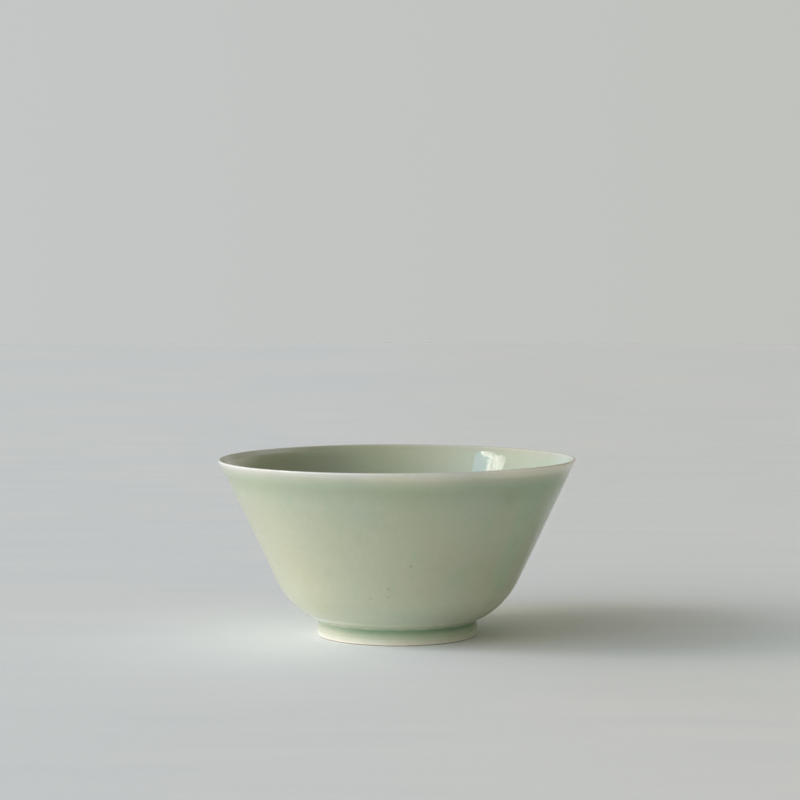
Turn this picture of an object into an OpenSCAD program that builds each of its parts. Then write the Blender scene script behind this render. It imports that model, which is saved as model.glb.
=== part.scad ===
// Footed rice bowl: one wheel-thrown porcelain body and the three glaze coats fused to it.
// Millimetres, +Z up. The origin is the centre of the foot, on the surface the bowl stands on.
//
// Everything is turned about Z. One line is drawn first, the fired glaze surface, from the bare
// foot edge up the outside, over the lip and down to the middle of the inside. Each of its points
// carries the glaze thickness there, and the clay lies that far behind it. So every coat and the
// clay share their common face point for point, and nothing overlaps.

/* [Rim] */
// Outside diameter across the rim
rim_d = 121; // [116:0.5:128]
// Overall height, from the surface it stands on to the top of the lip
bowl_h = 60.1; // [57:0.1:64]
// Radius of the rounded lip, half the thickness of the wall there
lip_r = 0.6; // [0.5:0.05:0.8]

/* [Outside wall] */
// Diameter where the rounded hip runs into the straight flaring wall
hip_d = 82.8; // [80:0.2:86]
// Height of that place
hip_h = 19.3; // [17:0.1:22]
// How far the middle of the flaring wall dips in from a straight line
wall_dip = 0.16; // [0:0.02:0.6]
// How far the hip's curve follows the line of the flaring wall
hip_reach = 8.6; // [6:0.1:10]
// Diameter where the underside starts, just outside the foot ring
under_d = 56.4; // [55.8:0.1:57]
// Height of that place
under_h = 6.04; // [5.8:0.02:6.4]
// Rise of the underside as it leaves the foot ring, in degrees
under_angle = 13; // [6:1:20]
// How far the hip's curve follows the underside
under_reach = 2.9; // [2:0.1:4]
// Height of the faint turned ridge that runs round the underside
ridge_rise = 0.14; // [0:0.01:0.25]

/* [Foot ring] */
// Outside diameter of the foot ring
foot_d = 54.3; // [53:0.1:55]
// Width of the bare edge that it stands on
foot_edge = 3.2; // [2.4:0.1:4]
// Radius that softens the outer and inner corner of that edge
foot_soft = 0.35; // [0.2:0.05:0.5]
// Diameter across the inside of the foot ring at its mouth
well_d = 45.6; // [44:0.1:47]
// How far the inside of the foot ring leans in by the time it reaches the ceiling
well_lean = 0.7; // [0.3:0.1:1.2]
// Height of the ceiling inside the foot ring, at its middle
well_h = 4.6; // [4.4:0.1:5]
// How far the ceiling comes down from its middle to its edge
well_dome = 0.12; // [0:0.02:0.2]
// Radius of the inner corner under the ceiling
well_corner = 1.1; // [0.8:0.1:1.5]

/* [Inside] */
// Height of the inside floor at its middle
floor_h = 8.4; // [8.2:0.1:9.6]
// Thickness of the wall at the height where the inside starts to round
wall_t = 3; // [2.6:0.1:3.4]
// Height on the wall where the inside starts to round
bowl_round_h = 26; // [23:0.5:30]
// How far the inside curve follows the flaring wall
side_reach = 14; // [11:0.5:16]
// How far the inside curve follows the flat of the floor
floor_reach = 31; // [27:0.5:32]

/* [Glaze] */
// Thickness of the glaze over the flaring wall
glaze_t = 0.34; // [0.25:0.01:0.45]
// Thickness where the glaze has run thin over the lip
lip_glaze_t = 0.16; // [0.1:0.01:0.22]
// Thickness where it has pooled in the corner over the foot ring
pool_t = 0.62; // [0.4:0.02:0.8]
// Thickness where it has pooled in the middle of the inside
floor_glaze_t = 0.5; // [0.35:0.01:0.6]
// Thickness of its wiped lower edge on the foot ring
edge_glaze_t = 0.1; // [0.08:0.01:0.16]
// Height up to which the foot ring is bare clay
bare_h = 0.75; // [0.6:0.05:1.1]
// How far down the inside the outer coat laps over the lip
lap = 1.6; // [1:0.1:3]

/* [Hidden] */
$fn = 180;

clay_colour = [0.93, 0.92, 0.87];
outer_colour = [0.69, 0.76, 0.65];
inner_colour = [0.73, 0.80, 0.70];
well_colour = [0.71, 0.79, 0.69];

// ---- small geometry ----
function last(v) = v[len(v) - 1];
function unit(v) = v / norm(v);
function mix(a, b, t) = a + (b - a) * t;
function smooth(t) = let (u = min(max(t, 0), 1)) u * u * (3 - 2 * u);
function left(d) = [-d[1], d[0]];
function bezier2(a, b, c, t) = pow(1 - t, 2) * a + 2 * (1 - t) * t * b + t * t * c;
function bezier3(a, b, c, d, t) =
    pow(1 - t, 3) * a + 3 * pow(1 - t, 2) * t * b + 3 * (1 - t) * t * t * c + pow(t, 3) * d;
function rz(p) = [p[0], p[1]];
function flip(v) = [for (i = [len(v) - 1:-1:0]) v[i]];

// Moves each [r, z, t] of a line by its own t, to the left of the way the line runs when side is 1
// and to the right when it is -1. The line's last point is on the axis if axis_end is true, and
// stays there.
function behind(line, side, axis_end) = [
    for (i = [0:len(line) - 1])
        let (
            a = rz(line[max(i - 1, 0)]),
            b = rz(line[min(i + 1, len(line) - 1)]),
            d = i == 0 ? unit(rz(line[1]) - rz(line[0])) : unit(b - a),
            n = left(d) * side
        )
        axis_end && i == len(line) - 1
            ? [0, line[i][1] - side * line[i][2]]
            : rz(line[i]) + n * line[i][2]
];

// ---- main points of the glaze surface, as [radius, height] ----
foot_r = foot_d / 2;
lip_c = [rim_d / 2 - lip_r, bowl_h - lip_r];   // centre of the lip's rounding
under = [under_d / 2, under_h];
hip = [hip_d / 2, hip_h];

// The flaring wall is one shallow curve that leaves the lip's rounding at a tangent.
lip_out = unit([0.9, -0.43]);
wall_top = lip_c + lip_r * lip_out;
wall_mid = mix(hip, wall_top, 0.5) + 2 * wall_dip * left(unit(wall_top - hip));
wall_dir = unit(wall_mid - hip);
top_dir = unit(wall_top - wall_mid);
lip_from = atan2(-top_dir[0], top_dir[1]);            // where the lip's rounding starts, in degrees

// The inside wall runs back down from the lip, and thickens as it goes.
wall_run = (bowl_round_h - wall_top[1]) / (hip[1] - wall_top[1]);
round_out = bezier2(wall_top, wall_mid, hip, wall_run);
round_in = round_out + wall_t * left(unit(wall_top - hip));
lip_in_dir = unit(round_in - (lip_c - lip_r * [cos(lip_from), sin(lip_from)]));
lip_to = atan2(lip_in_dir[0], -lip_in_dir[1]) + 180;  // where the lip's rounding ends
lip_end = lip_c + lip_r * [cos(lip_to), sin(lip_to)];

// ---- the glaze surface, in runs of [radius, height, glaze thickness] ----
// up the outside of the foot ring
ring_top = 4.35;
ring_line = [
    for (i = [0:6])
        let (t = i / 6, z = mix(bare_h, ring_top, t))
        [foot_r, z, mix(edge_glaze_t, glaze_t, smooth(t))]
];
// round the corner where the glaze pools, from the ring to the underside
corner_line = [
    for (i = [1:9])
        let (
            t = i / 9,
            under_dir = [cos(under_angle), sin(under_angle)],
            p = bezier3([foot_r, ring_top], [foot_r, ring_top + 1.15], under - 0.55 * under_dir, under, t)
        )
        [p[0], p[1], mix(glaze_t, pool_t, smooth(1 - abs(2 * t - 1)))]
];
// out along the underside, over the faint ridge and up round the hip
hip_line = [
    for (i = [1:22])
        let (
            t = i / 22,
            p = bezier3(under, under + under_reach * [cos(under_angle), sin(under_angle)],
                        hip - hip_reach * wall_dir, hip, t),
            bump = ridge_rise * smooth(1 - abs(t - 0.2) / 0.16)
        )
        [p[0] + 0.45 * bump, p[1] - 0.9 * bump, glaze_t - 0.6 * bump]
];
// up the flaring wall
wall_line = [
    for (i = [1:11])
        let (t = i / 11, p = bezier2(hip, wall_mid, wall_top, t))
        [p[0], p[1], mix(glaze_t, lip_glaze_t, smooth((t - 0.72) / 0.28))]
];
// over the lip
lip_line = [
    for (i = [1:10])
        let (a = mix(lip_from, lip_to, i / 10))
        [lip_c[0] + lip_r * cos(a), lip_c[1] + lip_r * sin(a), lip_glaze_t]
];
// down the inside of the wall: first the lap of the outer coat, then the inner coat
inside_len = norm(round_in - lip_end);
lap_line = [
    for (i = [1:3])
        let (p = lip_end + lap * i / 3 * lip_in_dir)
        [p[0], p[1], mix(lip_glaze_t, glaze_t, smooth(lap * i / 3 / 12))]
];
inside_line = [
    for (i = [1:8])
        let (s = mix(lap, inside_len, i / 8), p = lip_end + s * lip_in_dir)
        [p[0], p[1], mix(lip_glaze_t, glaze_t, smooth(s / 12))]
];
// round the inside and in to the middle of the floor
floor_line = [
    for (i = [1:26])
        let (
            t = i / 26,
            p = bezier3(round_in, round_in + side_reach * lip_in_dir,
                        [floor_reach, floor_h], [0, floor_h], t)
        )
        [i == 26 ? 0 : p[0], p[1], mix(glaze_t, floor_glaze_t, smooth((t - 0.35) / 0.4))]
];

surface_line = concat(ring_line, corner_line, hip_line, wall_line, lip_line, lap_line, inside_line, floor_line);
clay_line = behind(surface_line, 1, true);
joint = len(ring_line) + len(corner_line) + len(hip_line) + len(wall_line) + len(lip_line) + len(lap_line) - 1;

// ---- the glaze surface inside the foot ring, from its bare edge to the middle of the ceiling ----
well_r = well_d / 2;
well_edge_z = well_h - well_dome;
well_top = well_edge_z - well_corner;
well_side = [
    for (i = [0:5])
        let (t = i / 5)
        [well_r - well_lean * t * (well_top - bare_h) / (well_edge_z - bare_h),
         mix(bare_h, well_top, t),
         mix(edge_glaze_t, 0.9 * glaze_t, smooth(t))]
];
well_bend = [
    for (i = [1:8])
        let (
            t = i / 8,
            a = rz(last(well_side)),
            c = [a[0] - 0.15 * well_corner, well_edge_z],
            b = [a[0] - 1.25 * well_corner, well_edge_z + 0.01],
            p = bezier2(a, c, b, t)
        )
        [p[0], p[1], mix(0.9 * glaze_t, 0.5, smooth(1 - abs(2 * t - 1)))]
];
well_roof = [
    for (i = [1:7])
        let (t = i / 7, e = rz(last(well_bend)), u = 1 - t)
        [i == 7 ? 0 : e[0] * u, well_h + (e[1] - well_h) * u * u, 0.9 * glaze_t]
];
well_line = concat(well_side, well_bend, well_roof);
well_clay = behind(well_line, -1, true);

// ---- the bare edge of the foot, from the outer glaze's lower edge to the well's ----
edge_out = clay_line[0][0];
edge_in = well_clay[0][0];
edge_mid = (edge_out + edge_in) / 2;
bare_edge = [
    for (i = [0:4])
        let (a = 90 * i / 4)
        [edge_mid + foot_edge / 2 + (edge_out - edge_mid - foot_edge / 2) * cos(a),
         foot_soft * (1 - sin(a))]
];
bare_edge_in = [
    for (i = [0:4])
        let (a = 90 * i / 4)
        [edge_mid - foot_edge / 2 - (edge_mid - foot_edge / 2 - edge_in) * sin(a),
         foot_soft * (1 - cos(a))]
];

module turned(points) rotate_extrude() polygon(points);

// The thrown and turned clay: wall, floor and foot ring in one, bare only on the foot's edge.
module porcelain_body()
    color(clay_colour)
        turned(concat(clay_line, flip(well_clay), flip(bare_edge_in), flip(bare_edge)));

// The coat on the outside, from the foot ring up over the lip and a little way down the inside.
module outer_glaze()
    color(outer_colour)
        turned(concat(
            [for (i = [0:joint]) rz(surface_line[i])],
            [for (i = [joint:-1:0]) clay_line[i]]));

// The coat that fills the inside, from the lap below the lip to the middle of the floor.
module inner_glaze()
    color(inner_colour)
        turned(concat(
            [for (i = [joint:len(surface_line) - 1]) rz(surface_line[i])],
            [for (i = [len(surface_line) - 1:-1:joint]) clay_line[i]]));

// The coat inside the foot ring, under the floor.
module foot_well_glaze()
    color(well_colour)
        turned(concat(
            [for (p = well_line) rz(p)],
            flip(well_clay)));

porcelain_body();
outer_glaze();
inner_glaze();
foot_well_glaze();
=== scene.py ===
import math

import bpy
import numpy as np
from mathutils import Matrix


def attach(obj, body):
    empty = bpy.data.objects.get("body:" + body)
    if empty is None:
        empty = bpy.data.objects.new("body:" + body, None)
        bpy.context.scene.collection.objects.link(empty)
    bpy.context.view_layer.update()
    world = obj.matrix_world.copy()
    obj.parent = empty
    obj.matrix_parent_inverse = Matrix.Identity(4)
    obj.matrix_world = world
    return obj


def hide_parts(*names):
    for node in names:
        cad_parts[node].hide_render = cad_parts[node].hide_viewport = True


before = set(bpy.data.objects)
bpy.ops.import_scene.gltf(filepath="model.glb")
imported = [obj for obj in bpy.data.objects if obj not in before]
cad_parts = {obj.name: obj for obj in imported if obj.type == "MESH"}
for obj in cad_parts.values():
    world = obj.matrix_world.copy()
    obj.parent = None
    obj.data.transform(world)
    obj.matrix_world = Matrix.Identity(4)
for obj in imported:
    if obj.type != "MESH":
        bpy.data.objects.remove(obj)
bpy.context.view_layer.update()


# ---------------------------------------------------------------------------------------------
# The glaze surface, as in the CAD source: one line turned about Z, in millimetres. Here it is
# sampled finely, and the clay lies the glaze's thickness behind it.
# ---------------------------------------------------------------------------------------------
RIM_D, BOWL_H, LIP_R = 121.0, 60.1, 0.6
HIP_D, HIP_H, WALL_DIP, HIP_REACH = 82.8, 19.3, 0.16, 8.6
UNDER_D, UNDER_H, UNDER_ANGLE, UNDER_REACH, RIDGE = 56.4, 6.04, 13.0, 2.9, 0.055
FOOT_D, FOOT_EDGE, FOOT_SOFT = 54.3, 3.2, 0.35
WELL_D, WELL_LEAN, WELL_H, WELL_DOME, WELL_CORNER = 45.6, 0.7, 4.6, 0.12, 1.1
FLOOR_H, WALL_T, ROUND_H, SIDE_REACH, FLOOR_REACH = 8.4, 3.0, 26.0, 14.0, 31.0
GLAZE_T, LIP_T, POOL_T, FLOOR_T, EDGE_T = 0.34, 0.16, 0.62, 0.5, 0.1
BARE_H, LAP, RING_TOP = 0.75, 1.6, 4.35


def vec(*a):
    return np.array(a, float)


def unit(v):
    return v / np.linalg.norm(v)


def left(d):
    return vec(-d[1], d[0])


def smooth(t):
    t = np.clip(t, 0.0, 1.0)
    return t * t * (3 - 2 * t)


def mix(a, b, t):
    return a + (b - a) * t


def bez2(a, b, c, t):
    t = np.asarray(t, float)[:, None]
    return (1 - t) ** 2 * a + 2 * (1 - t) * t * b + t * t * c


def bez3(a, b, c, d, t):
    t = np.asarray(t, float)[:, None]
    return (1 - t) ** 3 * a + 3 * (1 - t) ** 2 * t * b + 3 * (1 - t) * t * t * c + t**3 * d


foot_r = FOOT_D / 2
lip_c = vec(RIM_D / 2 - LIP_R, BOWL_H - LIP_R)
under = vec(UNDER_D / 2, UNDER_H)
hip = vec(HIP_D / 2, HIP_H)
wall_top = lip_c + LIP_R * unit(vec(0.9, -0.43))
wall_mid = mix(hip, wall_top, 0.5) + 2 * WALL_DIP * left(unit(wall_top - hip))
wall_dir = unit(wall_mid - hip)
top_dir = unit(wall_top - wall_mid)
lip_from = math.atan2(-top_dir[0], top_dir[1])
run = (ROUND_H - wall_top[1]) / (hip[1] - wall_top[1])
round_out = bez2(wall_top, wall_mid, hip, [run])[0]
round_in = round_out + WALL_T * left(unit(wall_top - hip))
lip_in_dir = unit(round_in - (lip_c - LIP_R * vec(math.cos(lip_from), math.sin(lip_from))))
lip_to = math.atan2(lip_in_dir[0], -lip_in_dir[1]) + math.pi
lip_end = lip_c + LIP_R * vec(math.cos(lip_to), math.sin(lip_to))
under_dir = vec(math.cos(math.radians(UNDER_ANGLE)), math.sin(math.radians(UNDER_ANGLE)))


def steps(n):
    return np.arange(1, n + 1) / n


def rows(points, thickness):
    return np.column_stack([points, np.broadcast_to(thickness, len(points))])


t = np.arange(0, 15) / 14
ring_line = rows(np.column_stack([np.full(15, foot_r), mix(BARE_H, RING_TOP, t)]), mix(EDGE_T, GLAZE_T, smooth(t)))
t = steps(14)
corner_line = rows(
    bez3(vec(foot_r, RING_TOP), vec(foot_r, RING_TOP + 1.15), under - 0.55 * under_dir, under, t),
    mix(GLAZE_T, POOL_T, smooth(1 - np.abs(2 * t - 1))),
)
t = steps(44)
hip_pts = bez3(under, under + UNDER_REACH * under_dir, hip - HIP_REACH * wall_dir, hip, t)
bump = RIDGE * smooth(1 - np.abs(t - 0.17) / 0.15)
hip_line = rows(hip_pts + np.column_stack([0.45 * bump, -0.9 * bump]), GLAZE_T - 0.6 * bump)
t = steps(44)
wall_line = rows(bez2(hip, wall_mid, wall_top, t), mix(GLAZE_T, LIP_T, smooth((t - 0.72) / 0.28)))
# the inner face opens a little in the last millimetres under the lip, where the thrower's sponge ran
FLARE, FLARE_LEN = 0.056, 2.7
flare_dir = left(lip_in_dir)


def inner_face(s):
    """Points on the inner face, s mm down from the lip."""
    return lip_end + s[:, None] * lip_in_dir + (0.5 * FLARE * np.clip(FLARE_LEN - s, 0, None) ** 2)[:, None] * flare_dir


lip_stop = inner_face(np.zeros(1))[0]
lip_stop_dir = unit(lip_in_dir - FLARE * FLARE_LEN * flare_dir)
lip_line = rows(bez3(wall_top, wall_top + 0.76 * top_dir, lip_stop - 0.76 * lip_stop_dir, lip_stop, steps(18)), LIP_T)
s = LAP * steps(6)
lap_line = rows(inner_face(s), mix(LIP_T, GLAZE_T, smooth(s / 12)))
inside_len = float(np.linalg.norm(round_in - lip_end))
s = mix(LAP, inside_len, steps(36))
inside_line = rows(inner_face(s), mix(LIP_T, GLAZE_T, smooth(s / 12)))
t = steps(52)
floor_line = rows(
    bez3(round_in, round_in + SIDE_REACH * lip_in_dir, vec(FLOOR_REACH, FLOOR_H), vec(0, FLOOR_H), t),
    mix(GLAZE_T, FLOOR_T, smooth((t - 0.35) / 0.4)),
)
floor_line[-1, 0] = 0.0
surface = np.vstack([ring_line, corner_line, hip_line, wall_line, lip_line, lap_line, inside_line, floor_line])
joint = len(ring_line) + len(corner_line) + len(hip_line) + len(wall_line) + len(lip_line) + len(lap_line) - 1


def behind(line, side):
    p = line[:, :2]
    d = np.empty_like(p)
    d[1:-1] = p[2:] - p[:-2]
    d[0] = p[1] - p[0]
    d[-1] = p[-1] - p[-2]
    d /= np.linalg.norm(d, axis=1)[:, None]
    out = p + side * np.column_stack([-d[:, 1], d[:, 0]]) * line[:, 2:3]
    out[-1] = (0.0, line[-1, 1] - side * line[-1, 2])
    return out


clay = behind(surface, 1)

well_r = WELL_D / 2
well_edge = WELL_H - WELL_DOME
well_top = well_edge - WELL_CORNER
t = np.arange(0, 9) / 8
well_side = rows(
    np.column_stack([
        well_r - WELL_LEAN * t * (well_top - BARE_H) / (well_edge - BARE_H),
        mix(BARE_H, well_top, t),
    ]),
    mix(EDGE_T, 0.9 * GLAZE_T, smooth(t)),
)
e = well_side[-1, :2]
t = steps(12)
well_bend = rows(
    bez2(e, vec(e[0] - 0.15 * WELL_CORNER, well_edge), vec(e[0] - 1.25 * WELL_CORNER, well_edge + 0.01), t),
    mix(0.9 * GLAZE_T, 0.5, smooth(1 - np.abs(2 * t - 1))),
)
e = well_bend[-1, :2]
u = 1 - steps(16)
well_roof = rows(np.column_stack([e[0] * u, WELL_H + (e[1] - WELL_H) * u * u]), 0.9 * GLAZE_T)
well = np.vstack([well_side, well_bend, well_roof])
well_clay = behind(well, -1)

edge_out, edge_in = clay[0, 0], well_clay[0, 0]
edge_mid = (edge_out + edge_in) / 2
a = np.linspace(0, math.pi / 2, 7)
foot_out = np.column_stack([
    edge_mid + FOOT_EDGE / 2 + (edge_out - edge_mid - FOOT_EDGE / 2) * np.cos(a),
    FOOT_SOFT * (1 - np.sin(a)),
])
foot_in = np.column_stack([
    edge_mid - FOOT_EDGE / 2 - (edge_mid - FOOT_EDGE / 2 - edge_in) * np.sin(a),
    FOOT_SOFT * (1 - np.cos(a)),
])

# ---------------------------------------------------------------------------------------------
# The hand of the thrower: the whole pot is a hair out of round, its rim rises and dips a little,
# and faint spiral rings run round the wall. Clay and glaze move together, so they stay in touch.
# ---------------------------------------------------------------------------------------------
SEGMENTS = 320
RIM_LIFT = 0.15


def ribbed(r, z):
    """How much of the rings is left: all on the outer face, a sixth on the inner one, which the thrower's rib smoothed."""
    face = np.interp(z, wall_line[:, 1], wall_line[:, 0])
    return 1 - 0.84 * smooth((face - r - 0.5) / 0.8) * smooth((z - 16) / 8)


def hand(x, y, z):
    """Moves points, in millimetres, by the pot's own unevenness. z and the angle round the pot decide it."""
    r = np.hypot(x, y)
    th = np.arctan2(y, x)
    up = np.clip(z / BOWL_H, 0, 1)
    off_foot = smooth((z - 1.2) / 10.0)
    out = 0.055 * np.cos(2 * th + 0.8) * up + 0.03 * np.cos(3 * th - 1.1) * up**2
    out += 0.02 * np.cos(5 * th + 2.2) * up**3
    below_lip = smooth((BOWL_H - 1.5 - z) / 6.0)
    rings = 0.016 * np.sin(2 * math.pi * z / 3.3 + th) + 0.010 * np.sin(2 * math.pi * z / 5.1 - th + 1.3)
    out += rings * off_foot * below_lip * ribbed(r, z) * (1 - 0.96 * smooth((z - 40) / 8))
    out += 0.24 * np.clip(np.cos(th), 0, 1) ** 4 * smooth((z - 16) / 16) * (1 - smooth((z - 48) / 11))
    lift = 0.05 * np.cos(2 * th - 0.5) + 0.03 * np.cos(3 * th + 0.9) - 0.10 * np.sin(2 * th) + 0.15 * np.cos(th)
    lift += RIM_LIFT - 0.09 * np.cos(2 * th)
    lift = lift * smooth((z - 30) / 30.0)
    fade = smooth(r / 12.0)
    k = 1 + out * fade * off_foot / np.maximum(r, 1e-6)
    return x * k - 0.20 * smooth((z - 20) / 38) * fade, y * k, z + lift * fade


def revolve(name, profile, closed=True, edge_wave=None):
    """A closed mesh from a closed [r, z] outline in millimetres, turned about Z. A point on the axis becomes one vertex."""
    n = len(profile)
    th = 2 * math.pi * np.arange(SEGMENTS) / SEGMENTS
    verts, index = [], []
    count = 0
    for i, (r, z) in enumerate(profile):
        if r < 1e-9:
            verts.append(np.array([[0.0, 0.0, z]]))
            index.append([count])
            count += 1
        else:
            zz = np.full(SEGMENTS, z)
            rr = np.full(SEGMENTS, r)
            if edge_wave is not None:
                dr, dz = edge_wave(i, th)
                zz = zz + dz
                rr = rr + dr
            verts.append(np.column_stack([rr * np.cos(th), rr * np.sin(th), zz]))
            index.append(list(range(count, count + SEGMENTS)))
            count += SEGMENTS
    v = np.vstack(verts)
    x, y, z = hand(v[:, 0], v[:, 1], v[:, 2])
    v = np.column_stack([x, y, z]) / 1000.0
    faces = []
    for i in range(n if closed else n - 1):
        a, b = index[i], index[(i + 1) % n]
        if len(a) == 1 and len(b) == 1:
            continue
        if len(a) == 1:
            faces += [(a[0], b[k], b[(k + 1) % SEGMENTS]) for k in range(SEGMENTS)]
        elif len(b) == 1:
            faces += [(a[k], b[0], a[(k + 1) % SEGMENTS]) for k in range(SEGMENTS)]
        else:
            faces += [(a[k], b[k], b[(k + 1) % SEGMENTS], a[(k + 1) % SEGMENTS]) for k in range(SEGMENTS)]
    mesh = bpy.data.meshes.new(name)
    mesh.from_pydata(v.tolist(), [], faces)
    mesh.validate()
    # outward normals: the signed volume is positive when the winding is right
    mesh.calc_loop_triangles()
    tri = np.array([t.vertices[:] for t in mesh.loop_triangles])
    p = v[tri]
    if np.einsum("ij,ij->i", p[:, 0], np.cross(p[:, 1], p[:, 2])).sum() < 0:
        mesh.flip_normals()
    mesh.polygons.foreach_set("use_smooth", np.ones(len(mesh.polygons), bool))
    mesh.update()
    ob = bpy.data.objects.new(name, mesh)
    bpy.context.scene.collection.objects.link(ob)
    return ob


def sharpen(ob, degrees):
    """Marks the edges that turn by more than this as sharp, so that smooth shading stops there."""
    mesh = ob.data
    import bmesh
    bm = bmesh.new()
    bm.from_mesh(mesh)
    for e in bm.edges:
        if len(e.link_faces) == 2 and e.calc_face_angle(0.0) > math.radians(degrees):
            e.smooth = False
    bm.to_mesh(mesh)
    bm.free()


outer_front = surface[: joint + 1, :2]
outer_back = clay[: joint + 1]
inner_front = surface[joint:, :2]
inner_back = clay[joint:]

body_outline = np.vstack([clay, well_clay[::-1], foot_in[::-1], foot_out[::-1]])
body = revolve("porcelain_pot", body_outline)
outer = revolve("outer_glaze_coat", np.vstack([outer_front, outer_back[::-1]]))
inner = revolve("inner_glaze_coat", np.vstack([inner_front, inner_back[::-1]]))
base = revolve("foot_well_glaze_coat", np.vstack([well[:, :2], well_clay[::-1]]))
for ob in (body, outer, inner, base):
    sharpen(ob, 50)

# ---------------------------------------------------------------------------------------------
# Materials
# ---------------------------------------------------------------------------------------------


def srgb(r, g, b):
    def lin(c):
        c /= 255.0
        return c / 12.92 if c <= 0.04045 else ((c + 0.055) / 1.055) ** 2.4
    return (lin(r), lin(g), lin(b), 1.0)


class Tree:
    """Short calls for building a node tree."""

    def __init__(self, name):
        self.mat = bpy.data.materials.new(name)
        self.mat.use_nodes = True
        self.nt = self.mat.node_tree
        self.nt.nodes.clear()

    def node(self, kind, **settings):
        n = self.nt.nodes.new(kind)
        for k, v in settings.items():
            setattr(n, k, v)
        return n

    def put(self, socket, value):
        if isinstance(value, bpy.types.NodeSocket):
            self.nt.links.new(value, socket)
        elif value is not None:
            socket.default_value = value

    def math(self, op, a, b=None, c=None, clamp=False):
        n = self.node("ShaderNodeMath", operation=op, use_clamp=clamp)
        for i, v in enumerate((a, b, c)):
            if v is not None:
                self.put(n.inputs[i], v)
        return n.outputs[0]

    def coords(self):
        return self.node("ShaderNodeTexCoord").outputs["Object"]

    def xyz(self, v):
        n = self.node("ShaderNodeSeparateXYZ")
        self.put(n.inputs[0], v)
        return n.outputs

    def join(self, x, y, z):
        n = self.node("ShaderNodeCombineXYZ")
        for i, v in enumerate((x, y, z)):
            self.put(n.inputs[i], v)
        return n.outputs[0]

    def noise(self, v, scale, detail=2.0, rough=0.5, distort=0.0):
        n = self.node("ShaderNodeTexNoise")
        self.put(n.inputs["Vector"], v)
        n.inputs["Scale"].default_value = scale
        n.inputs["Detail"].default_value = detail
        n.inputs["Roughness"].default_value = rough
        n.inputs["Distortion"].default_value = distort
        return n.outputs["Fac"]

    def span(self, value, a, b, lo=0.0, hi=1.0, smooth_step=False):
        n = self.node("ShaderNodeMapRange", clamp=True)
        if smooth_step:
            n.interpolation_type = "SMOOTHSTEP"
        self.put(n.inputs["Value"], value)
        n.inputs["From Min"].default_value = a
        n.inputs["From Max"].default_value = b
        n.inputs["To Min"].default_value = lo
        n.inputs["To Max"].default_value = hi
        return n.outputs["Result"]

    def ramp(self, value, stops, ease="LINEAR"):
        n = self.node("ShaderNodeValToRGB")
        cr = n.color_ramp
        cr.interpolation = ease
        while len(cr.elements) < len(stops):
            cr.elements.new(0.5)
        for el, (pos, colour) in zip(cr.elements, stops):
            el.position = pos
        for el, (pos, colour) in zip(cr.elements, stops):
            el.color = colour
        self.put(n.inputs["Fac"], value)
        return n.outputs["Color"]

    def blend(self, fac, a, b, kind="MIX"):
        n = self.node("ShaderNodeMix", data_type="RGBA", blend_type=kind)
        self.put(n.inputs["Factor"], fac)
        self.put(n.inputs[6], a)
        self.put(n.inputs[7], b)
        return n.outputs[2]

    def bump(self, height, strength, distance, normal=None):
        n = self.node("ShaderNodeBump")
        n.inputs["Strength"].default_value = strength
        n.inputs["Distance"].default_value = distance
        self.put(n.inputs["Height"], height)
        if normal is not None:
            self.put(n.inputs["Normal"], normal)
        return n.outputs["Normal"]

    def finish(self, colour, roughness, normal, **constants):
        p = self.node("ShaderNodeBsdfPrincipled")
        self.put(p.inputs["Base Color"], colour)
        self.put(p.inputs["Roughness"], roughness)
        if normal is not None:
            self.put(p.inputs["Normal"], normal)
        for k, v in constants.items():
            p.inputs[k.replace("_", " ")].default_value = v
        out = self.node("ShaderNodeOutputMaterial")
        self.nt.links.new(p.outputs["BSDF"], out.inputs["Surface"])
        return self.mat


def rgba(r, g, b):
    return (r, g, b, 1.0)


def mm(m):
    """Object coordinates in millimetres, as a vector and as x, y, z."""
    n = m.node("ShaderNodeVectorMath", operation="SCALE")
    m.put(n.inputs[0], m.coords())
    n.inputs["Scale"].default_value = 1000.0
    v = n.outputs[0]
    x, y, z = m.xyz(v)
    return v, x, y, z


def stretch(m, v, x, y, z):
    n = m.node("ShaderNodeVectorMath", operation="MULTIPLY")
    m.put(n.inputs[0], v)
    n.inputs[1].default_value = (x, y, z)
    return n.outputs[0]


def centred(m, value, amount):
    """A 0 to 1 noise turned into -amount to +amount."""
    return m.math("MULTIPLY_ADD", value, 2 * amount, -amount)


def along(m, z, low, high, stops):
    """A colour that runs with height: stops are (mm, colour)."""
    return m.ramp(m.span(z, low, high), [((h - low) / (high - low), c) for h, c in stops])


def spot(m, v, centre, radii, inner=0.0):
    """1 at a point in the glaze, falling softly to 0 at the given radii in mm."""
    n = m.node("ShaderNodeVectorMath", operation="SUBTRACT")
    m.put(n.inputs[0], v)
    n.inputs[1].default_value = centre
    d = m.node("ShaderNodeVectorMath", operation="DIVIDE")
    m.put(d.inputs[0], n.outputs[0])
    d.inputs[1].default_value = radii
    l = m.node("ShaderNodeVectorMath", operation="LENGTH")
    m.put(l.inputs[0], d.outputs[0])
    return m.span(l.outputs["Value"], inner, 1.0, 1.0, 0.0, smooth_step=True)


def round_at(angle, radius, z):
    a = math.radians(angle)
    return (radius * math.cos(a), radius * math.sin(a), z)


def tint(m, colour, fac, factor):
    """Multiplies the colour by factor where fac is 1."""
    return m.blend(fac, colour, factor, "MULTIPLY")


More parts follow.
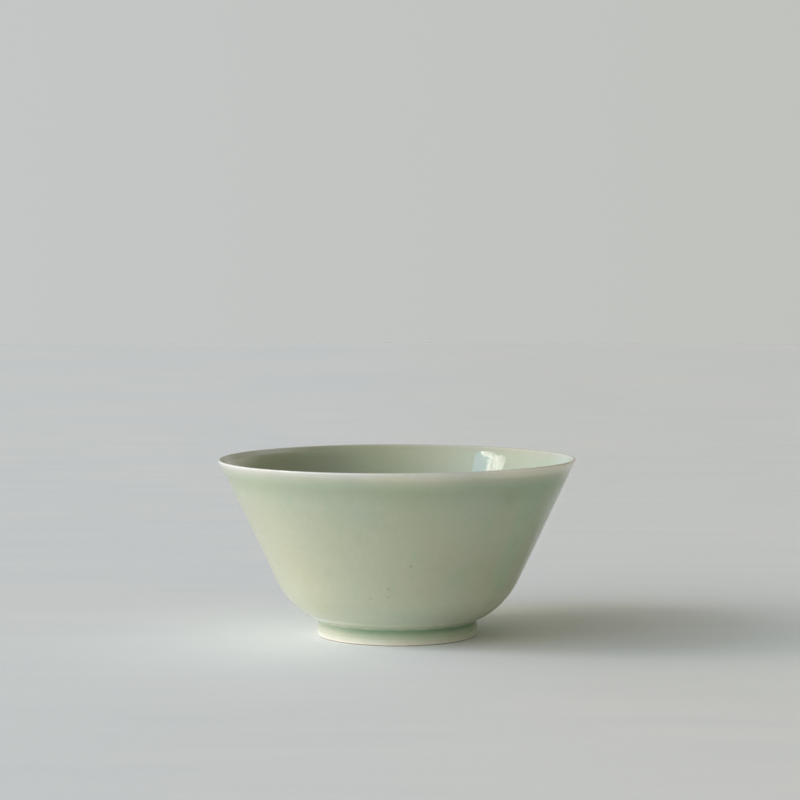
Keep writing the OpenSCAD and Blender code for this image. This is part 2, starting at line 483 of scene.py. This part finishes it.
def glaze_surface(m, v, z, fine=1.0, cell=0.62, wheel=1.0):
    """What every glaze coat has: orange peel, faint wheel marks, and a gloss that changes a little from place to place."""
    peel = m.noise(v, cell, 2.0, 0.55)
    swell = m.noise(v, 0.16, 1.0, 0.5)
    bands = m.noise(stretch(m, v, 0.02, 0.02, 0.9), 1.0, 2.0, 0.6)
    normal = m.bump(peel, 1.0, 0.000011 * fine)
    normal = m.bump(swell, 1.0, 0.00004 * min(1.0, 1.5 * wheel), normal)
    normal = m.bump(bands, 1.0, 0.00003 * wheel, normal)
    dull = m.noise(v, 0.05, 3.0, 0.6)
    return normal, dull


def flecks(m, v, colour, size, share, seed):
    """A few tiny iron flecks: one in so many cells of a 9 mm grid holds one."""
    n = m.node("ShaderNodeTexVoronoi", feature="F1")
    s = m.node("ShaderNodeVectorMath", operation="ADD")
    m.put(s.inputs[0], v)
    s.inputs[1].default_value = (seed, seed * 0.7, seed * 1.3)
    m.put(n.inputs["Vector"], s.outputs[0])
    n.inputs["Scale"].default_value = 1 / 9.0
    near = m.span(n.outputs["Distance"], size * 0.35 / 9.0, size / 9.0, 1.0, 0.0, smooth_step=True)
    chosen = m.math("GREATER_THAN", m.xyz(n.outputs["Color"])[0], 1.0 - share)
    return m.blend(m.math("MULTIPLY", m.math("MULTIPLY", near, chosen), 0.75), colour, srgb(112, 104, 84))


FLECKS = ((4.45, -45.6, 28.85, 0.98, 0.27), (-2.83, -42.07, 20.95, 0.85, 0.28), (-2.85, -40.75, 18.17, 0.75, 0.20), (-8.69, -39.66, 17.71, 0.75, 0.24))

# --- outside coat: pale celadon, thin and whitish on the lip, greener where it has run and pooled -----------------------
m = Tree("outer_celadon")
v, x, y, z = mm(m)
z = m.math("SUBTRACT", z, m.span(z, 30.0, 60.0, 0.0, RIM_LIFT, smooth_step=True))
angle = m.math("MULTIPLY", m.math("ARCTAN2", y, x), 180 / math.pi)
low = m.noise(v, 0.03, 2.0, 0.5)
mid = m.noise(v, 0.085, 3.0, 0.55, 0.4)
fine = m.noise(v, 1.1, 3.0, 0.65)

# height with a hand-dipped waver: the lip line and the green band below it are lower to the right
waver = m.math("ADD", centred(m, low, 1.5), centred(m, mid, 0.7))
lean = m.math("MULTIPLY", x, -0.018)
z_wall = m.math("ADD", m.math("SUBTRACT", z, lean), waver)
z_foot = m.math("ADD", z, centred(m, m.noise(v, 0.22, 2.0, 0.5), 0.28))
# the pale band over the ridge at about 6 to 6.5 mm is partly thin glaze on its edge and partly painted light, lifting
# the shade of the crease there
foot_part = along(m, z_foot, 0, 10, [
    (0.4, rgba(0.735, 0.764, 0.72)), (1.25, rgba(0.612, 0.642, 0.566)), (1.9, rgba(0.534, 0.583, 0.478)),
    (2.6, rgba(0.449, 0.524, 0.414)), (3.3, rgba(0.378, 0.465, 0.348)), (3.9, rgba(0.291, 0.391, 0.286)),
    (4.4, rgba(0.236, 0.346, 0.237)), (4.9, rgba(0.206, 0.323, 0.219)), (5.3, rgba(0.274, 0.391, 0.278)),
    (5.65, rgba(0.475, 0.559, 0.419)), (6.05, rgba(0.635, 0.686, 0.532)), (6.45, rgba(0.65, 0.694, 0.541)),
    (6.8, rgba(0.585, 0.625, 0.495)), (7.15, rgba(0.559, 0.619, 0.491)), (7.6, rgba(0.552, 0.624, 0.487)),
    (8.5, rgba(0.546, 0.598, 0.473)),
])
# the pool over the foot ring is thin and pale at the left of the front
thin_pool = m.math("MULTIPLY", m.span(x, -9.0, -25.0, smooth_step=True), m.math("MULTIPLY", m.span(z, 1.4, 2.6), m.span(z, 5.9, 5.2)))
foot_part = m.blend(m.math("MULTIPLY", thin_pool, 0.22), foot_part, rgba(0.66, 0.70, 0.57))
# painted light: on the left, towards the window, the ridge is made paler still
painted_light_ridge_left = m.math("MULTIPLY", m.span(x, -8.0, -22.0, smooth_step=True), m.math("MULTIPLY", m.span(z, 5.6, 6.2), m.span(z, 8.4, 7.6)))
foot_part = m.blend(m.math("MULTIPLY", painted_light_ridge_left, 0.42), foot_part, rgba(0.80, 0.81, 0.71))
foot_part = tint(m, foot_part, thin_pool, rgba(1.09, 1.01, 1.02))
wall_part = along(m, z_wall, 9, 62, [
    (9, rgba(0.567, 0.614, 0.474)), (14, rgba(0.557, 0.597, 0.455)), (20, rgba(0.536, 0.57, 0.432)),
    (28, rgba(0.526, 0.56, 0.425)), (38, rgba(0.521, 0.557, 0.424)), (44, rgba(0.503, 0.547, 0.418)),
    (48.3, rgba(0.492, 0.548, 0.418)), (50.5, rgba(0.462, 0.526, 0.398)), (52.2, rgba(0.437, 0.506, 0.376)),
    (53.8, rgba(0.422, 0.50, 0.367)), (55.0, rgba(0.44, 0.522, 0.388)), (56.2, rgba(0.492, 0.558, 0.428)),
    (57.3, rgba(0.57, 0.61, 0.475)), (58.0, rgba(0.665, 0.685, 0.565)), (58.7, rgba(0.715, 0.73, 0.62)),
    (59.4, rgba(0.76, 0.77, 0.70)), (60.0, rgba(0.79, 0.79, 0.74)),
])
colour = m.blend(m.span(z, 8.0, 9.4, smooth_step=True), foot_part, wall_part)
# the glaze is a shade deeper on the front of the wall, and paler on the lip at the right
round_r = m.node("ShaderNodeVectorMath", operation="LENGTH")
m.put(round_r.inputs[0], stretch(m, v, 1.0, 1.0, 0.0))
front = m.math("DIVIDE", m.math("MULTIPLY", y, -1.0), round_r.outputs["Value"])
front = m.math("MULTIPLY", m.span(front, 0.62, 0.93, smooth_step=True), m.span(z, 7.5, 8.5))
colour = tint(m, colour, front, rgba(0.925, 0.945, 0.975))
# painted light: towards the window on the left, the lip and upper wall are made whiter and bluer, as the window's
# bluish light falls there
colour = tint(m, colour, m.math("MULTIPLY", m.span(x, -34.0, -48.0, smooth_step=True), m.span(z, 55.0, 58.0)), rgba(1.03, 1.02, 1.08))
to_left = m.span(x, -2.0, -16.0, smooth_step=True)
colour = tint(m, colour, m.math("MULTIPLY", to_left, m.span(z, 40.0, 50.0)), rgba(1.0, 1.0, 1.03))
colour = tint(m, colour, m.math("MULTIPLY", to_left, m.span(z, 57.0, 58.3)), rgba(1.0, 1.01, 1.07))
lip_right = m.math("MULTIPLY", m.span(x, 20.0, 40.0, smooth_step=True), m.span(z, 57.0, 58.5))
colour = m.blend(m.math("MULTIPLY", lip_right, 0.62), colour, rgba(0.88, 0.85, 0.70))
# painted light: the crest of the lip on the right is made paler still, lifting the shade on its outward face
colour = m.blend(m.math("MULTIPLY", lip_right, m.span(z, 58.9, 59.7, 0.0, 0.8)), colour, rgba(0.97, 0.95, 0.87))
# round the lip the coat turns into the inside coat's colour, so that the lap has no edge
leaned = m.math("SUBTRACT", round_r.outputs["Value"], m.math("MULTIPLY_ADD", z, 0.47, -0.47 * 60))
inward = m.math("MULTIPLY", m.span(leaned, 59.90, 60.20, 1.0, 0.0, smooth_step=True), m.span(z, 57.0, 57.4))
inner_lip = along(m, z, 57, 61, [
    (58.2, rgba(0.455, 0.49, 0.365)), (59.3, rgba(0.48, 0.51, 0.39)), (59.9, rgba(0.56, 0.575, 0.475)),
    (60.3, rgba(0.64, 0.65, 0.56)),
])
inner_lip = tint(m, inner_lip, m.span(x, -10.0, 30.0), rgba(1.0, 1.0, 1.12))
# painted glow: on the left the lap round the lip is made whiter, standing in for light shining through the thin wall
# from the window side
inner_lip = m.blend(m.math("MULTIPLY", m.span(x, -28.0, -50.0, smooth_step=True), m.span(z, 55.0, 59.0)), inner_lip, rgba(0.85, 0.86, 0.87))
# painted light: at the right tip of the front rim the lap is made paler, lifting the shade that falls on the crest
# there
inner_lip = m.blend(m.math("MULTIPLY", m.span(x, 28.0, 50.0, 0.0, 0.9), m.math("MULTIPLY", m.span(z, 59.3, 59.9), m.span(y, 6.0, -6.0))), inner_lip, rgba(0.97, 0.93, 0.84))
colour = m.blend(inward, colour, inner_lip)

# and a shade deeper again low on the right of the front, where it gathers
low_right = m.math("MULTIPLY", m.span(x, 2.0, 19.0, smooth_step=True), m.span(y, -4.0, -14.0))
colour = tint(m, colour, m.math("MULTIPLY", low_right, m.math("MULTIPLY", m.span(z, 3.2, 4.8), m.span(z, 16.0, 9.0, smooth_step=True))), rgba(0.88, 0.88, 0.885))
colour = tint(m, colour, m.math("MULTIPLY", low_right, m.math("MULTIPLY", m.span(z, 9.0, 14.0), m.span(z, 40.0, 26.0, smooth_step=True))), rgba(0.955, 0.955, 0.96))

# glaze that has run: long faint streaks down the wall all round. The one clear greener streak at the right of the front
# is a painted reflection of the shadow on the floor behind the bowl
streak = m.noise(stretch(m, v, 1.0, 1.0, 0.07), 0.16, 2.0, 0.5, 0.2)
on_wall = m.math("MULTIPLY", m.span(z, 12, 20, smooth_step=True), m.span(z, 50, 56, 1.0, 0.0, smooth_step=True))
colour = tint(m, colour, m.math("MULTIPLY", m.span(streak, 0.56, 0.78, smooth_step=True), on_wall), rgba(0.93, 1.0, 0.97))
# painted reflection: the greener streak at -37 degrees round the pot stands in for the shadowed floor seen in the glaze
run_angle = m.math("ADD", angle, centred(m, m.noise(v, 0.06, 1.0, 0.5), 4.0))
run = m.span(m.math("ABSOLUTE", m.math("ADD", run_angle, 37.0)), 2.0, 9.5, 1.0, 0.0, smooth_step=True)
painted_reflection_on = m.math("MULTIPLY", m.span(z, 12, 24, smooth_step=True), m.span(z, 51, 57, 1.0, 0.0, smooth_step=True))
colour = tint(m, colour, m.math("MULTIPLY", run, painted_reflection_on), rgba(0.915, 1.03, 1.0))
# painted shade: towards the right edge, away from the window, the wall is darkened and greened, standing in for its
# shade and its reflection of the shadowed floor
painted_shade_right = m.span(m.math("DIVIDE", x, round_r.outputs["Value"]), 0.80, 0.99, smooth_step=True)
painted_shade_right = m.math("MULTIPLY", painted_shade_right, m.math("MULTIPLY", m.span(z, 21.0, 36.0, smooth_step=True), m.span(z, 58.0, 56.0)))
colour = tint(m, colour, painted_shade_right, rgba(0.80, 0.90, 0.80))
thread = m.span(m.math("ABSOLUTE", m.math("ADD", run_angle, 55.0)), 0.6, 3.2, 1.0, 0.0, smooth_step=True)
thread_on = m.math("MULTIPLY", m.span(z, 34, 40, smooth_step=True), m.span(z, 49, 54, 1.0, 0.0, smooth_step=True))
colour = tint(m, colour, m.math("MULTIPLY", thread, thread_on), rgba(0.95, 1.0, 0.985))
# three cooler clouds
cloud = spot(m, v, round_at(-82, 36, 11.5), (13, 10, 4.5))
colour = tint(m, colour, cloud, rgba(0.915, 0.97, 0.985))
cloud = spot(m, v, round_at(-49, 56, 50), (8, 8, 4.5))
colour = tint(m, colour, cloud, rgba(0.925, 0.955, 0.90))
cloud = spot(m, v, round_at(-102, 54, 46), (11, 10, 6))
colour = tint(m, colour, cloud, rgba(0.955, 0.99, 1.01))
# the pale body shows beige and mint by turns
colour = tint(m, colour, m.span(low, 0.42, 0.68, smooth_step=True), rgba(1.015, 0.995, 0.965))
colour = tint(m, colour, m.span(mid, 0.5, 0.72, smooth_step=True), rgba(0.975, 0.992, 0.985))
colour = tint(m, colour, m.span(fine, 0.35, 0.75), rgba(0.965, 0.968, 0.96))
# fine mottling a few millimetres across, and thin threads where the glaze ran
mottle = m.noise(v, 0.34, 4.0, 0.62, 0.3)
colour = tint(m, colour, m.span(mottle, 0.36, 0.64, smooth_step=True), rgba(0.976, 0.982, 0.976))
threads = m.noise(stretch(m, v, 1.0, 1.0, 0.05), 0.55, 2.0, 0.55)
colour = tint(m, colour, m.math("MULTIPLY", m.span(threads, 0.40, 0.66, smooth_step=True), on_wall), rgba(0.975, 0.986, 0.977))
colour = tint(m, colour, 1.0, rgba(1.002, 0.984, 0.974))
# peach blush on the bare-looking lower foot
blush = m.math("MULTIPLY", m.span(m.noise(v, 0.45, 2.0, 0.6), 0.56, 0.7, smooth_step=True), m.span(z, 1.0, 3.4, 1.0, 0.0, smooth_step=True))
colour = tint(m, colour, blush, rgba(1.0, 0.96, 0.89))
# iron flecks: four on the front, and a few more elsewhere
for fleck in FLECKS:
    colour = m.blend(m.math("MULTIPLY", spot(m, v, fleck[:3], (fleck[3],) * 3, 0.1), fleck[4]), colour, srgb(104, 108, 82))
behind = m.span(y, -8.0, 2.0)
colour = m.blend(behind, colour, flecks(m, v, colour, 0.42, 0.16, 31.0))
normal, dull = glaze_surface(m, v, z)
rough = m.math("ADD", m.span(dull, 0.3, 0.7, 0.05, 0.10), m.span(z, 1.0, 4.2, 0.28, 0.0, smooth_step=True))
m.finish(colour, rough, normal)
mat_outer = m.mat

# --- inside coat -------------------------------------------------------------------------------------------------------
m = Tree("inner_celadon")
v, x, y, z = mm(m)
z = m.math("SUBTRACT", z, m.span(z, 30.0, 60.0, 0.0, RIM_LIFT, smooth_step=True))
low = m.noise(v, 0.035, 2.0, 0.5)
mid = m.noise(v, 0.09, 3.0, 0.55, 0.4)
fine = m.noise(v, 1.1, 3.0, 0.65)
z_in = m.math("ADD", z, m.math("ADD", centred(m, low, 1.2), centred(m, mid, 0.5)))
colour = along(m, z_in, 8, 62, [
    (8.2, rgba(0.40, 0.485, 0.36)), (9.6, rgba(0.43, 0.505, 0.38)), (14, rgba(0.455, 0.52, 0.395)),
    (24, rgba(0.47, 0.525, 0.40)), (46, rgba(0.465, 0.52, 0.40)), (52, rgba(0.445, 0.495, 0.375)),
    (55, rgba(0.45, 0.495, 0.375)), (60.1, rgba(0.455, 0.49, 0.365)),
])
# painted glow and painted shade: the wall is thin enough near the lip for the light on its outside, on the left, to
# shine through, and that glow is painted in as paler glaze near the lip on the left; lower down on the back left the
# inside is painted darker where it lies in shade
painted_shade_back_left = m.math("MULTIPLY", m.span(x, -8.0, -26.0, smooth_step=True), m.span(x, -50.0, -40.0, smooth_step=True))
colour = tint(m, colour, m.math("MULTIPLY", painted_shade_back_left, m.span(z, 58.0, 56.0)), rgba(0.885, 0.862, 0.865))
painted_glow = m.math("MULTIPLY", m.span(m.math("ADD", z, m.span(x, -48.0, -59.0, 0.0, 6.0)), 54.5, 60.5), m.span(x, -42.0, -57.0, smooth_step=True))
colour = m.blend(painted_glow, colour, rgba(0.93, 0.93, 0.90))
painted_glow = m.math("MULTIPLY", m.span(z, 57.4, 60.3, 0.0, 0.6), m.span(x, -22.0, -44.0, smooth_step=True))
colour = m.blend(painted_glow, colour, rgba(0.90, 0.89, 0.83))
colour = tint(m, colour, m.span(x, -5.0, 45.0, smooth_step=True), rgba(0.985, 1.0, 1.09))
colour = tint(m, colour, m.math("MULTIPLY", m.span(x, 32.0, 50.0, smooth_step=True), m.span(z, 59.0, 57.0)), rgba(0.93, 0.985, 0.95))
# the glaze lies thickest in a soft pool on the floor of the bowl
flat = m.node("ShaderNodeVectorMath", operation="LENGTH")
m.put(flat.inputs[0], stretch(m, v, 1.0, 1.0, 0.0))
pool = m.span(m.math("ADD", flat.outputs["Value"], centred(m, mid, 3.0)), 8, 26, 1.0, 0.0, smooth_step=True)
pool = m.math("MULTIPLY", pool, m.span(z, 10, 16, 1.0, 0.0))
colour = tint(m, colour, pool, rgba(0.90, 0.97, 0.93))
ring_pool = m.span(m.math("ABSOLUTE", m.math("SUBTRACT", flat.outputs["Value"], 19.0)), 0.4, 2.6, 1.0, 0.0, smooth_step=True)
colour = tint(m, colour, m.math("MULTIPLY", ring_pool, m.span(z, 11, 14, 1.0, 0.0)), rgba(0.90, 0.965, 0.92))
streak = m.noise(stretch(m, v, 1.0, 1.0, 0.07), 0.16, 2.0, 0.5, 0.2)
colour = tint(m, colour, m.span(streak, 0.56, 0.78, smooth_step=True), rgba(0.94, 1.0, 0.97))
colour = tint(m, colour, m.span(low, 0.42, 0.68, smooth_step=True), rgba(1.02, 0.995, 0.955))
colour = tint(m, colour, m.span(mid, 0.5, 0.72, smooth_step=True), rgba(0.97, 0.99, 0.98))
colour = tint(m, colour, m.span(fine, 0.35, 0.75), rgba(0.965, 0.968, 0.96))
colour = m.blend(m.span(z, 40.0, 46.0, 1.0, 0.0), colour, flecks(m, v, colour, 0.40, 0.10, 77.0))
normal, dull = glaze_surface(m, v, z, 1.0, 0.95, 0.08)
rough = m.span(dull, 0.3, 0.7, 0.015, 0.03)
m.finish(colour, rough, normal)
mat_inner = m.mat

# --- the coat inside the foot ring: the same glaze, thicker in the corner and bare at the wiped edge -------------------
m = Tree("well_celadon")
v, x, y, z = mm(m)
low = m.noise(v, 0.05, 2.0, 0.5)
mid = m.noise(v, 0.12, 3.0, 0.55, 0.4)
fine = m.noise(v, 1.1, 3.0, 0.65)
flat = m.node("ShaderNodeVectorMath", operation="LENGTH")
m.put(flat.inputs[0], stretch(m, v, 1.0, 1.0, 0.0))
r = m.math("ADD", flat.outputs["Value"], centred(m, mid, 0.5))
colour = along(m, r, 0, 24, [
    (0, rgba(0.51, 0.565, 0.43)), (12, rgba(0.525, 0.575, 0.44)), (18.5, rgba(0.50, 0.56, 0.425)),
    (20.6, rgba(0.36, 0.45, 0.325)), (21.8, rgba(0.27, 0.38, 0.26)), (22.25, rgba(0.36, 0.45, 0.33)),
    (22.6, rgba(0.55, 0.59, 0.46)), (23.2, rgba(0.70, 0.69, 0.58)),
])
wheel = m.noise(m.join(m.math("MULTIPLY", flat.outputs["Value"], 0.8), 0.0, 0.0), 1.0, 2.0, 0.6)
colour = tint(m, colour, m.span(wheel, 0.45, 0.7), rgba(0.955, 0.975, 0.95))
colour = tint(m, colour, m.span(low, 0.42, 0.68, smooth_step=True), rgba(1.02, 0.99, 0.95))
colour = tint(m, colour, m.span(fine, 0.35, 0.75), rgba(0.965, 0.968, 0.96))
colour = flecks(m, v, colour, 0.45, 0.2, 12.0)
normal, dull = glaze_surface(m, v, z)
turned = m.bump(wheel, 1.0, 0.00008, normal)
rough = m.math("ADD", m.span(dull, 0.3, 0.7, 0.09, 0.15), m.span(z, 0.9, 2.2, 0.25, 0.0, smooth_step=True))
m.finish(colour, rough, turned)
mat_base = m.mat

# --- bare porcelain: fine, dry, cream, with a toasted line where the glaze stops and grey scuffs from use --------------
m = Tree("bare_porcelain")
v, x, y, z = mm(m)
grain = m.noise(v, 2.6, 4.0, 0.7)
patch = m.noise(v, 0.18, 3.0, 0.6)
speck = m.noise(v, 1.4, 1.0, 0.5)
colour = m.ramp(patch, [(0.3, rgba(0.80, 0.79, 0.73)), (0.5, rgba(0.765, 0.745, 0.68)), (0.7, rgba(0.79, 0.76, 0.68))])
colour = tint(m, colour, m.span(grain, 0.35, 0.7), rgba(0.93, 0.925, 0.91))
toast = m.math("MULTIPLY", m.span(z, 0.35, 0.72, smooth_step=True), m.span(m.noise(v, 0.3, 2.0, 0.6), 0.35, 0.65))
colour = tint(m, colour, toast, rgba(0.98, 0.93, 0.84))
scuff = m.math("MULTIPLY", m.span(speck, 0.6, 0.72, smooth_step=True), m.span(z, 0.03, 0.2, 1.0, 0.0, smooth_step=True))
colour = tint(m, colour, scuff, rgba(0.72, 0.71, 0.70))
# the edge that slides over tables is painted a thin dark brown line: partly a stain from use, partly painted contact
# shadow where the foot meets the floor
stain_and_contact_shade = m.math("MULTIPLY", m.span(z, 0.10, 0.36, 1.0, 0.0, smooth_step=True), m.span(patch, 0.25, 0.6, 0.7, 1.0))
colour = tint(m, colour, stain_and_contact_shade, rgba(0.30, 0.27, 0.22))
normal = m.bump(grain, 1.0, 0.00004)
normal = m.bump(m.noise(v, 0.8, 3.0, 0.6), 1.0, 0.00006, normal)
m.finish(colour, m.span(grain, 0.3, 0.7, 0.52, 0.72), normal)
mat_clay = m.mat

for ob, mat, node, slot in (
    (body, mat_clay, "porcelain_body", "bare_porcelain"),
    (outer, mat_outer, "outer_glaze", "outer_celadon"),
    (inner, mat_inner, "inner_glaze", "inner_celadon"),
    (base, mat_base, "foot_well_glaze", "well_celadon"),
):
    ob.data.materials.append(mat)
    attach(ob, "root")
    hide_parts(node)

# ---------------------------------------------------------------------------------------------
# Floor, light and camera
# ---------------------------------------------------------------------------------------------
FLOOR_R = 3.0
fm = bpy.data.meshes.new("floor")
n = 96
ring = [(FLOOR_R * math.cos(2 * math.pi * i / n), FLOOR_R * math.sin(2 * math.pi * i / n), 0.0) for i in range(n)]
fm.from_pydata(ring, [], [tuple(range(n))])
floor = bpy.data.objects.new("floor", fm)
bpy.context.scene.collection.objects.link(floor)
f = Tree("floor_paint")
fv = f.coords()
fx, fy, fz = f.xyz(fv)
brush = f.noise(stretch(f, fv, 9.0, 38.0, 1.0), 1.0, 4.0, 0.6, 0.3)
cloud = f.noise(fv, 3.2, 3.0, 0.55, 0.4)
tooth = f.noise(fv, 420.0, 2.0, 0.6)
paint = f.ramp(cloud, [(0.3, rgba(0.866, 0.905, 0.954)), (0.5, rgba(0.878, 0.910, 0.949)), (0.7, rgba(0.891, 0.917, 0.946))])
paint = f.blend(f.span(brush, 0.35, 0.7), paint, rgba(0.965, 0.97, 0.978), "MULTIPLY")
paint = f.blend(f.span(tooth, 0.3, 0.7), paint, rgba(0.985, 0.985, 0.985), "MULTIPLY")
# painted shade: the floor turns a little darker and warmer to the right, the colour of the bowl's shadow there
paint = f.blend(f.span(fx, -0.10, 0.14, smooth_step=True), paint, rgba(0.99, 0.975, 0.945), "MULTIPLY")
f.finish(paint, f.span(cloud, 0.3, 0.7, 0.66, 0.78), f.bump(tooth, 0.5, 0.00006, f.bump(brush, 0.5, 0.0002)))
fm.materials.append(f.mat)

def toward(az, el):
    """A unit direction: azimuth from the camera's side (-Y), positive to the right, and elevation, in degrees."""
    a, e = math.radians(az), math.radians(el)
    return (math.cos(e) * math.sin(a), -math.cos(e) * math.cos(a), math.sin(e))


world = bpy.data.worlds.new("world")
world.use_nodes = True
wt = Tree.__new__(Tree)
wt.nt = world.node_tree
wt.nt.nodes.clear()
way = wt.node("ShaderNodeTexCoord").outputs["Generated"]
wx, wy, wz = wt.xyz(way)


def lobe(az, el, k, colour):
    """A broad soft patch of light round a direction: colour * exp(k * (cos angle - 1))."""
    d = wt.node("ShaderNodeVectorMath", operation="DOT_PRODUCT")
    wt.put(d.inputs[0], way)
    d.inputs[1].default_value = toward(az, el)
    e = wt.math("EXPONENT", wt.math("MULTIPLY_ADD", d.outputs["Value"], k, -k))
    n = wt.node("ShaderNodeVectorMath", operation="SCALE")
    n.inputs[0].default_value = colour
    wt.put(n.inputs["Scale"], e)
    return n.outputs[0]


def add(a, b):
    n = wt.node("ShaderNodeVectorMath", operation="ADD")
    wt.put(n.inputs[0], a)
    wt.put(n.inputs[1], b)
    return n.outputs[0]


behind_bowl = wt.span(wy, -0.05, 0.15, smooth_step=True)
to_right = wt.span(wx, -0.6, 0.6, smooth_step=True)
wall = wt.blend(to_right, (0.05, 0.03, 0.03, 1), (0.225, 0.20, 0.10, 1))
light = wt.blend(behind_bowl, (0.02, 0.047, 0.057, 1), wall)
for az, el, colour in (
    (-118, 3, (0.72, 0.90, 1.45)),
    (-105, 10, (0.90, 0.56, 0.80)),
    (-85, 8, (1.66, 1.12, 0.80)),
    (-66, 8, (2.50, 2.46, 2.05)),
    (-45, 8, (1.30, 1.38, 1.42)),
    (-22, 8, (0.56, 0.33, 0.11)),
    (0, 10, (0.18, 0.24, 0.02)),
    (55, 14, (0.66, 0.64, 0.55)),
    (-115, 40, (0.57, 0.58, 0.24)),
    (-60, 38, (0.24, 0.64, 1.00)),
    (-30, 38, (0.55, 0.30, 0.38)),
    (-155, 8, (0.60, 0.80, 0.80)),
):
    light = add(light, lobe(az, el, 12.0, colour))
light = add(light, lobe(158, 8, 45.0, (0.36, 0.36, 0.42)))
light = add(light, lobe(0, 90, 4.0, (0.050, 0.052, 0.045)))

# the window: a bright pane high on the left with leaves outside it, and a strip of blue sky beside it. Its reflection
# shows inside the far wall.
wobble = wt.noise(way, 40.0, 2.0, 0.5)
wobble_b = wt.noise(way, 47.0, 2.0, 0.5)
az = wt.math("MULTIPLY", wt.math("ARCTAN2", wx, wt.math("MULTIPLY", wy, -1.0)), 180 / math.pi)
el = wt.math("MULTIPLY", wt.math("ARCSINE", wz), 180 / math.pi)
az = wt.math("ADD", az, wt.math("MULTIPLY_ADD", wobble, 1.0, -0.5))
el = wt.math("ADD", el, wt.math("MULTIPLY_ADD", wobble_b, 0.8, -0.4))
edge = wt.math("ADD", wt.span(el, 40.7, 41.7, -80.6, -78.1), wt.span(el, 41.7, 42.9, 0.0, 3.4))
left_of = wt.span(wt.math("SUBTRACT", az, edge), -0.3, 0.3, 1.0, 0.0)
top = wt.math("ADD", wt.span(az, -88.5, -80.4, 39.4, 45.3), wt.math("ADD", wt.span(az, -80.4, -73.6, 0.0, 2.0), wt.span(az, -92.3, -88.5, -0.6, 0.0)))
under = wt.span(wt.math("SUBTRACT", top, el), -0.35, 0.35)
right_end = wt.span(el, 36.3, 37.8, -94.6, -91.2)
pane = wt.math("MULTIPLY", wt.math("MULTIPLY", left_of, under), wt.math("MULTIPLY", wt.span(el, 17.0, 18.0), wt.span(wt.math("SUBTRACT", az, right_end), -0.4, 0.4)))
leaves = wt.span(wt.noise(wt.join(wt.math("MULTIPLY", az, 0.42), wt.math("MULTIPLY", el, 1.5), 0.0), 1.0, 1.0, 0.5), 0.42, 0.56, 0.30, 0.92)
frame_line = wt.span(wt.math("SUBTRACT", edge, az), 1.5, 2.3, 0.8, 0.0)
leaves = wt.math("MINIMUM", wt.math("ADD", leaves, frame_line), 0.98)
sky = wt.math("MULTIPLY", wt.span(az, -68.2, -68.8), wt.math("MULTIPLY", wt.span(el, 20.0, 21.0), wt.span(el, 46.0, 45.2)))
sky_low = wt.blend(wt.span(el, 34.0, 37.5, smooth_step=True), (3.0, 3.5, 4.0, 1), (0.85, 1.75, 2.95, 1))


def scaled(colour, fac):
    n = wt.node("ShaderNodeVectorMath", operation="SCALE")
    wt.put(n.inputs[0], colour)
    wt.put(n.inputs["Scale"], fac)
    return n.outputs[0]


light = add(light, scaled((10.3, 9.6, 9.1), wt.math("MULTIPLY", pane, leaves)))
on_sky = wt.math("MULTIPLY", sky, wt.math("SUBTRACT", 1.0, left_of))
light = add(light, scaled(sky_low, on_sky))

seen = wt.node("ShaderNodeLightPath").outputs["Is Camera Ray"]
backdrop = wt.blend(seen, light, wt.blend(wt.span(wx, -0.20, 0.20), srgb(196, 199, 198), srgb(192, 194, 189)))
bg = wt.node("ShaderNodeBackground")
wt.put(bg.inputs["Color"], backdrop)
wt.nt.links.new(bg.outputs[0], wt.node("ShaderNodeOutputWorld").inputs["Surface"])
world.cycles.sampling_method = "MANUAL"
world.cycles.sample_map_resolution = 1024
bpy.context.scene.world = world

cam = bpy.data.cameras.new("camera")
cam.sensor_fit = "HORIZONTAL"
cam.sensor_width = 36.0
cam.lens = 106.692
cam.clip_start = 0.01
camera = bpy.data.objects.new("camera", cam)
bpy.context.scene.collection.objects.link(camera)
camera.location = (0.0008994, -0.803038, 0.125872)
camera.rotation_euler = (math.radians(90.0 - 3.281466), 0.0, 0.0)
camera.rotation_mode = "XYZ"
bpy.context.scene.camera = camera
bpy.context.scene.view_settings.view_transform = "Standard"
